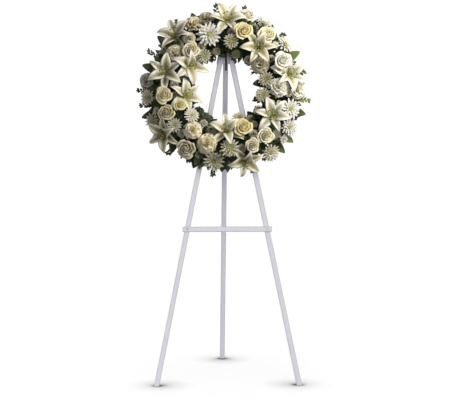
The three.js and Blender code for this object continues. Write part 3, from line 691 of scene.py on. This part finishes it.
def calyx(growth, sides):
    """The green cup that holds a carnation's petals."""
    growth.stalk([(0, 0, -9), (0, 0, -7), (0, 0, 0), (0, 0, 4)], (2.4, 4.6, 5.6, 7.0), green, stems, sides)


def carnation(growth, tint):
    """A full carnation: broad frilled, toothed fans packed from a dome in the middle to a skirt."""
    petals = 21
    v, u = blade(10, 21)
    start = chance.uniform(0, whole_turn)
    for k in range(petals):
        t = k / (petals - 1)
        lean = math.radians(6 + 70 * t**0.8 + chance.uniform(-7, 7))
        length = 29 + 3.5 * t + chance.uniform(-2.5, 1.5)
        half = (13 + 9 * t) * (0.10 + 0.90 * v**1.2)
        phase, phase2 = chance.uniform(0, whole_turn, 2)
        teeth = 1 - 0.06 * np.abs(np.sin(8 * u + phase)) * v**4 - 0.20 * u**2 * v
        frill = (3.4 * np.sin(3.4 * u + phase) + 1.0 * np.sin(8 * u + phase2)) * v**2.2
        curl = -5.0 * t * v**3 + 2.5 * (1 - t) * v**2 * u**2
        out = length * v * teeth
        x = out * math.sin(lean) - (frill + curl) * math.cos(lean)
        z = out * math.cos(lean) + (frill + curl) * math.sin(lean) - 2
        grid = spun(np.stack([x, half * u, z], -1), start + k * golden_angle)
        growth.sheet(grid, shaded(tint, 0.08), carnation_petal, 0.7)
    calyx(growth, 12)


def small_bloom(growth, tint):
    """A half-open spray carnation: a few short frilled petals."""
    v, u = blade(6, 11)
    petals = 14
    for k in range(petals):
        lean = math.radians(8 + 62 * (k / (petals - 1)) ** 0.8 + chance.uniform(-8, 8))
        out = chance.uniform(26, 31) * v * (1 - 0.2 * u**2 * v)
        frill = 4.5 * np.sin(3.6 * u + chance.uniform(0, whole_turn)) * v**2
        x = out * math.sin(lean) - frill * math.cos(lean)
        z = out * math.cos(lean) + frill * math.sin(lean) - 2
        grid = np.stack([x, (12 + 0.6 * k) * u * (0.1 + 0.9 * v), z], -1)
        growth.sheet(spun(grid, k * golden_angle), shaded(tint, 0.1), carnation_petal, 0.9)
    calyx(growth, 8)


def mum(growth, tint):
    """A daisy chrysanthemum: four whorls of long channelled rays round a button of tiny florets."""
    # How many rays, how long, how far they lean out in degrees, and how high they start
    whorls = [(15, 31, 71, 0.5), (13, 28.5, 59, 1.5), (10, 22.5, 48, 3.0), (7, 15.5, 38, 4.5)]
    v, u = blade(9, 5)
    for number, (count, length, lean, foot) in enumerate(whorls):
        for k in range(count):
            tilt = math.radians(lean + chance.uniform(-6, 6))
            size = length * chance.uniform(0.9, 1.04)
            taper = (0.35 + 0.65 * ease(v, 0, 0.5)) * np.clip(1.02 - v**3.4, 0, 1) ** 0.6
            half = (3.8 - 0.4 * number) * taper
            out = 2.5 + (size - 2.5) * v * math.sin(tilt) / math.sin(math.radians(70))
            droop = chance.uniform(0.5, 4.5)
            up = foot + size * math.cos(tilt) * (1.25 * v - 0.25 * v**2) - droop * v**3 + 0.9 * u**2 * v
            grid = np.stack([out, half * u + chance.uniform(-1.2, 1.2) * v**2, up], -1)
            angle = 2 * math.pi * (k + 0.4 * number + chance.uniform(-0.12, 0.12)) / count
            growth.sheet(spun(grid, angle), shaded(tint), mum_petal, 0.5)
    dome = [(0, 0, 1), (0, 0, 5), (0, 0, 8), (0, 0, 10), (0, 0, 11.2), (0, 0, 11.6)]
    growth.stalk(dome, (3.0, 5.6, 6.2, 5.0, 2.6, 0.6), green, florets, 16)
    growth.stalk([(0, 0, -4), (0, 0, -1), (0, 0, 1.5)], (1.8, 5.0, 6.5), green, stems, 10)


def lily(growth, radius, rises, tint):
    """An open lily: six waved petals with recurved tips, stamens with dark anthers, and a pistil."""
    s = radius / drawn_lily
    v, u = blade(17, 9)
    share = v[:, 0]
    path_at = (0, 0.22, 0.42, 0.72, 0.9, 1.0)
    whole = growth.at
    for k, rise in enumerate(rises):
        broad = k % 2 == 0
        set_back = 0 if broad else 2.5
        curl = chance.uniform(0, 6)
        out_along = (3.2, 9.0, 17 * s, 41 * s, 59 * s, 69 * s)
        up_along = (4, 16, 27 * s - set_back, 38 * s - set_back, 36 * s - set_back, 27 * s - set_back - curl)
        smooth = np.poly1d(np.polyfit(path_at, out_along, 4)), np.poly1d(np.polyfit(path_at, up_along, 4))
        half = (18.0 if broad else 14.0) * s * np.sin(np.pi * v**1.05 * 0.985 + 0.03) ** 0.95 + 1.6 * (1 - v) ** 2
        phase = chance.uniform(0, whole_turn)
        lift = 5.5 * s * u**2 * np.sin(np.pi * v) + 1.1 * np.abs(u) ** 2 * np.sin(11 * v + phase + u) * v
        lift = lift - 1.1 * np.exp(-((u / 0.16) ** 2)) * (1 - v**2)
        grid = np.stack([smooth[0](share)[:, None] + 0 * u, half * u, smooth[1](share)[:, None] + lift], -1)
        twist = math.radians(chance.uniform(-3, 3))
        growth.at = whole @ turned(math.radians(60 * k) + twist) @ turned(-math.radians(rise), "Y")
        growth.sheet(grid, shaded(tint, 0.04), lily_petal, 0.9)
    growth.at = whole
    growth.stalk([(0, 0, -9), (0, 0, -5), (0, 0, 3), (0, 0, 9)], (2.4, 3.4, 5.2, 5.6), green, throat, 12)
    for k in range(6):
        growth.at = whole @ turned(math.radians(60 * k + 30 + chance.uniform(-8, 8)))
        far = 15 + chance.uniform(0, 4)
        high = 42 * s + chance.uniform(-2, 2)
        thread = [(1, 0, 6), (3, 0, 20), (8, 0, 34 * s), (far, 0, high)]
        growth.stalk(thread, (0.8, 0.8, 0.7, 0.5), green, throat, 6)
        bar = ((-4.6, 0), (-3.6, 0.4), (0, 1.0), (3.6, 0.4), (4.6, 0))
        anther = [(far, aside, high + over) for aside, over in bar]
        growth.stalk(anther, (0.4, 1.5, 1.8, 1.5, 0.4), green, anthers, 8)
    growth.at = whole
    growth.stalk([(0, 0, 6), (1, 1, 26), (2, 2, 44 * s), (2, 2, 47 * s)], (1.3, 1.1, 1.2, 2.6), green, throat, 9)


# How each kind is drawn, how far its face stands out beyond the ring's usual depth, and how tall its head is
kinds = {"rose": (rose, 24, 29), "carnation": (carnation, 8, 24), "chrysanthemum": (mum, 8, 14)}


def spray(name, slot, heads):
    """One stem in the foam with a head on it, and branches to any further heads."""
    grow, lift, height = kinds[name.rsplit("_", 1)[0]]
    growth = Growth()
    fork = None
    for right, up, radius, tint in heads:
        place, aim = seat(right, up, lift, height * radius / drawn_radius)
        growth.at = place @ scaled(fullness * radius / drawn_radius)
        grow(growth, tint)
        growth.at = np.eye(4)
        base = place[:3, 3]
        if fork is None:
            fork = aim + unit(base - aim) * fork_above
            growth.stalk([base, aim], stem_radius, green, stems)
        else:
            growth.stalk([base, (base + fork) / 2, fork], branch_radii, green, stems)
    growth.piece(name + "_fine", slot, name)


for kind, table, slot in (
    ("rose", roses, "rose_petals"),
    ("carnation", carnations, "carnation_petals"),
    ("chrysanthemum", mums, "chrysanthemum_petals"),
):
    for number, heads in enumerate(table, 1):
        spray(f"{kind}_{number}", slot, heads)

for number, (right, up, radius, spin, rises, tint) in enumerate(lilies, 1):
    growth = Growth()
    place, aim = seat(right, up, lily_lift, lily_height)
    growth.at = place @ turned(math.radians(spin))
    lily(growth, radius, rises, tint)
    growth.at = np.eye(4)
    growth.stalk([place[:3, 3] - place[:3, 2] * 4, aim], stem_radius, green, stems)
    growth.piece(f"lily_{number}_fine", "lily_petals", f"lily_{number}")


def leaf(growth, length, half, tint, finish=broad_leaf, bend=0.12, rows=11):
    """A pointed leaf along +X, folded a little at its midrib and bent down towards its tip."""
    v, u = blade(rows, 7)
    width = half * 1.12 * np.sin(np.pi * v**0.82 * 0.97 + 0.05) ** 0.66 * (1 - 0.16 * v)
    wave = 0.05 * half * np.sin(9 * v + chance.uniform(0, whole_turn)) * np.abs(u)
    up = 0.22 * width * np.abs(u) ** 1.3 + wave + length * bend * (1.1 * v - 1.5 * v**2)
    growth.sheet(np.stack([length * v, width * u, up], -1), shaded(tint, 0.15), finish, 0.5)


def sprig(growth, length, tint, leaves=9, size=15.0):
    """A twig with small leaves in turn, left, right, over and under, and one at its end."""
    whole = growth.at
    growth.stalk([(-2, 0, 0), (0.4 * length, 0, 0.5), (0.85 * length, 0, 0)], (1.2, 0.9, 0.5), tint, stems, 5)
    for k in range(leaves):
        share = 0.26 + 0.60 * k / (leaves - 1)
        spread = math.radians(chance.uniform(38, 60)) * (1 if k % 2 else -1)
        roll = math.radians(chance.uniform(-50, 50))
        growth.at = whole @ shifted(share * length, 0, 0) @ turned(roll, "X") @ turned(spread)
        leaf(growth, size * chance.uniform(0.8, 1.1), 4.2, tint, small_leaf, 0.05, 6)
    growth.at = whole @ shifted(0.82 * length, 0, 0)
    leaf(growth, 0.2 * length, 4.2, tint, small_leaf, 0.05, 6)
    growth.at = whole


def by_ring(clock, reach, front):
    """A point by the ring, from a clock angle, a distance from its middle and one in front of the legs."""
    angle = math.radians(clock)
    return np.array((reach * math.sin(angle), reach * math.cos(angle), front))


def greenery(name, greens, reach, low, high):
    """A runner along part of the ring, pegged into the foam, with its leaves and sprigs."""
    growth = Growth()
    clocks = np.linspace(low + runner_end_inset, high - runner_end_inset, 28)
    growth.stalk([by_ring(clock, reach, runner_front) for clock in clocks], runner_radius, green, stems)
    inward = peg_length if reach > ring_radius else -peg_length
    for clock in (low + peg_inset, high - peg_inset):
        ends = [by_ring(clock, reach, runner_front), by_ring(clock, reach - inward, runner_front)]
        growth.stalk(ends, runner_radius, green, stems)
    for clock, tip, front, kind, tint in greens:
        if not low <= clock < high:
            continue
        foot = by_ring(clock, reach, runner_front)
        way = by_ring(clock, tip, front) - foot
        length = np.linalg.norm(way)
        growth.at = pointing(unit(way), (0, 0, 1), foot)
        if kind == "leaf":
            leaf(growth, length, min(17, 0.3 * length), tint)
        else:
            sprig(growth, length, tint)
        growth.at = np.eye(4)
    growth.piece(name + "_fine", "leaves", name)


for number, (low, high) in enumerate([(0, 120), (120, 240), (240, 360)], 1):
    greenery(f"greenery_outer_{number}", outer_greens, outer_runner, low, high)
for number, (low, high) in enumerate([(10, 123), (123, 237), (237, 350)], 1):
    greenery(f"greenery_inner_{number}", inner_greens, inner_runner, low, high)


# Mostly dark greens: partly the leaves' own colour, partly painted shade for the gaps between the flowers
filler_tints = (dark, dark, dark, deep, deep, green, grey_green)
fillers_in_third = 190
foam_surface = 31
foam_edge = 228
foam_middle = 24
tray_rim = 14


def filler(name, low, high, count):
    """Short greens pushed into the foam between the flowers, so that none of the foam shows."""
    growth = Growth()
    for k in range(count):
        clock = math.radians(low + (high - low) * (k + chance.rand()) / count)
        # From the inside of the ring, over its front, to its outside
        tube = math.radians(chance.uniform(-104, 112))
        outside = max(math.sin(tube), 0)
        out = np.array((math.sin(clock), math.cos(clock), 0))
        way = out * math.sin(tube) + np.array((0, 0, math.cos(tube)))
        foot = out * ring_radius + (0, 0, tube_front) + way * foam_surface
        foot[2] = max(foot[2], tray_rim)
        x = unit(way + chance.uniform(-0.42, 0.42, 3))
        growth.at = pointing(x, -chance.normal(size=3), foot)
        tint = filler_tints[chance.randint(len(filler_tints))]
        if k % 3:
            length = chance.uniform(32, 46) + 16 * outside
            leaf(growth, length, chance.uniform(8, 14), tint, broad_leaf, 0.1, 7)
        else:
            sprig(growth, chance.uniform(42, 54) + 14 * outside, tint, 8, 11)
    # Leaves that lie out behind the outer flowers
    behind = count // 6
    for k in range(behind):
        clock = low + (high - low) * (k + chance.rand()) / behind
        foot = by_ring(clock, foam_edge, foam_middle)
        tip = by_ring(clock + chance.uniform(-8, 8), chance.uniform(264, 288), chance.uniform(22, 52))
        way = tip - foot
        growth.at = pointing(unit(way), (*chance.uniform(-0.3, 0.3, 2), 1), foot)
        tint = filler_tints[chance.randint(len(filler_tints))]
        leaf(growth, np.linalg.norm(way), chance.uniform(10, 14), tint, broad_leaf, 0.1, 7)
    growth.piece(name, "leaves")


for number in range(3):
    filler(f"filler_greens_{number + 1}", 120 * number, 120 * (number + 1), fillers_in_third)

# Small blooms deep between the large ones, wherever these leave room
bloom_tries = 130
bloom_lift = -14
# Their tints' fourth number paints shade on them, deep between the large blooms
bloom_tint_in_painted_shade = (*warm_white, 0.45)
taken = [
    (right, up, radius * 0.8)
    for table in (roses, carnations, mums)
    for heads in table
    for right, up, radius, _ in heads
]
taken += [(right, up, radius * 0.5) for right, up, radius, *_ in lilies]
for number in range(3):
    growth = Growth()
    for _ in range(bloom_tries):
        clock = math.radians(chance.uniform(120 * number, 120 * (number + 1)))
        reach = chance.uniform(128, 262)
        right, up = reach * math.sin(clock), reach * math.cos(clock)
        radius = chance.uniform(15, 20)
        if any(math.hypot(right - x, up - y) < size + radius * 0.75 for x, y, size in taken):
            continue
        taken.append((right, up, radius))
        grow, height, tint = (mum, 14, ivory_in_painted_shade) if chance.rand() < 0.4 else (small_bloom, 20, bloom_tint_in_painted_shade)
        place, aim = seat(right, up, bloom_lift, height * radius / drawn_radius)
        growth.at = place @ scaled(radius / drawn_radius)
        grow(growth, tint)
        growth.at = np.eye(4)
        growth.stalk([place[:3, 3], aim], 1.6, green, stems, 6)
    growth.piece(f"small_blooms_{number + 1}", "carnation_petals")

# Young shoots that catch the light between the flowers: right, up and length
shoots = [
    (98, 232, 66),
    (178, -138, 62),
    (251, 100, 56),
    (-166, -29, 60),
    (150, -118, 58),
    (214, 132, 60),
    (40, 120, 52),
]
shoot_foot = 26
growth = Growth()
for right, up, length in shoots:
    place, aim = seat(right, up, 4, 0)
    x = unit(place[:3, 3] - aim)
    growth.at = pointing(x, (0.2, 0.4, 1), aim + x * shoot_foot)
    sprig(growth, length, lime, 7, 14)
growth.piece("young_shoots", "leaves")

# The easel, the foam and the fittings keep their solids and get their finishes
painted = paint_finish()
zinc = metal_finish("zinc", (0.60, 0.60, 0.58), (0.40, 0.40, 0.39), 0.26)
dark_steel = metal_finish("dark_steel", (0.035, 0.035, 0.034), (0.06, 0.055, 0.05), 0.36)
kept_nodes = {
    painted: ("front_leg_left", "front_leg_right", "rear_leg", "crossbar", "head_block"),
    zinc: (
        "hinge_fork",
        "hinge_bolt",
        "crossbar_nail_left",
        "crossbar_nail_right",
        "head_screw_left",
        "head_screw_right",
    ),
    dark_steel: ("hanger_hook",),
    tray_finish(): ("foam_tray",),
    foam_finish(): ("foam_ring",),
}
for finish, nodes in kept_nodes.items():
    for node in nodes:
        solid = frame["nodes"][node]
        solid.data.materials.clear()
        solid.data.materials.append(finish)


def pale_floor():
    """A pale floor with a painted contact shadow: it darkens close to what stands on it."""
    half = 30
    mesh = bpy.data.meshes.new("floor")
    corners = [(-half, -half, 0), (half, -half, 0), (half, half, 0), (-half, half, 0)]
    mesh.from_pydata(corners, [], [(0, 1, 2, 3)])
    sheet = bpy.data.objects.new("floor", mesh)
    bpy.context.scene.collection.objects.link(sheet)
    sheet.visible_diffuse = False
    paper = Finish("pale_floor", Roughness=0.9, Specular_IOR_Level=0.1)
    open_sky_for_painted_shadow = paper.node("ShaderNodeAmbientOcclusion", {"samples": 8}, {"Distance": 0.12}, "AO")
    # Painted contact shadow: the floor's colour darkens where things stand close over it
    colour = paper.mix(open_sky_for_painted_shadow.from_to(0.72, 0.985), (0.03, 0.03, 0.03), (0.86, 0.86, 0.86))
    mesh.materials.append(paper.dress(colour))
    return sheet


def surroundings():
    """A world that is bright in a band round the horizon, and dim above and below it."""
    world = bpy.data.worlds.new("studio")
    world.use_nodes = True
    bpy.context.scene.world = world
    nodes = Nodes(world.node_tree)
    height = nodes.split(nodes.node("ShaderNodeTexCoord", {}, {}, "Generated"))[2]
    share = nodes.node("ShaderNodeMapRange", {}, {"Value": height, "From Min": -1.0})
    bands = nodes.node("ShaderNodeValToRGB", {}, {0: share})
    nodes.put(nodes.tree.nodes["Background"].inputs["Color"], bands)
    stops = bands.socket.node.color_ramp.elements
    for position, grey in ((0.46, 0.14), (0.475, 1.05), (0.565, 1.05), (0.62, 0.22)):
        stops.new(position).color = (grey, grey, grey, 1)
    stops.remove(stops[0])
    stops.remove(stops[-1])


# Name, place, kind, size in metres or a sun's angle, power, colour, and what it lights where that isn't all
wreath_middle = (0, -0.2, 0.95)
lights = (
    ("key_light", (1.25, -1.3, 1.8), "AREA", 0.8, 40, (1.0, 0.955, 0.86), "the_rest"),
    ("fill_light", (-1.8, -2.6, 1.3), "AREA", 1.6, 3, (1, 1, 1), None),
    ("back_light", (-0.8, 2.6, 2.4), "AREA", 1.6, 5, (1, 1, 1), None),
    ("floor_light", (0, -0.2, 4), "SUN", math.radians(130), 2.95, (1, 1, 1), "the_floor"),
    ("lath_light", (0.4, -4, 1.3), "SUN", math.radians(80), 2.0, (1, 1, 1), "the_laths"),
)


def lighting(sheet):
    """The key light is for the wreath. The floor and the white laths each get theirs from a wide, even sun."""
    lit = {name: bpy.data.collections.new(name) for name in ("the_floor", "the_laths", "the_rest")}
    lit["the_floor"].objects.link(sheet)
    for node in kept_nodes[painted]:
        lit["the_laths"].objects.link(frame["nodes"][node])
    # The rest is everything but the floor and the laths
    for solid in (*lit["the_floor"].objects, *lit["the_laths"].objects):
        lit["the_rest"].objects.link(solid)
    for linked in lit["the_rest"].collection_objects:
        linked.light_linking.link_state = "EXCLUDE"
    for name, place, kind, size, power, tint, receivers in lights:
        light = bpy.data.lights.new(name, kind)
        setattr(light, "angle" if kind == "SUN" else "size", size)
        light.energy = power
        light.color = tint
        lamp = bpy.data.objects.new(name, light)
        lamp.location = place
        lamp.rotation_euler = (Vector(wreath_middle) - Vector(place)).to_track_quat("-Z", "Y").to_euler()
        lamp.light_linking.receiver_collection = lit.get(receivers)
        bpy.context.scene.collection.objects.link(lamp)


def camera():
    """The photo's view: from a little to the left, looking slightly down and to the right."""
    place = (-0.181, -4.7, 0.893)
    down = 3.23
    to_the_right = 2.29
    eye = bpy.data.cameras.new("camera")
    eye.lens = 104.0
    eye.sensor_width = 36
    holder = bpy.data.objects.new("camera", eye)
    holder.location = place
    holder.rotation_euler = (math.radians(90 - down), 0, math.radians(-to_the_right))
    bpy.context.scene.collection.objects.link(holder)
    bpy.context.scene.camera = holder


floor = pale_floor()
surroundings()
lighting(floor)
camera()
bpy.context.scene.view_settings.view_transform = "Standard"
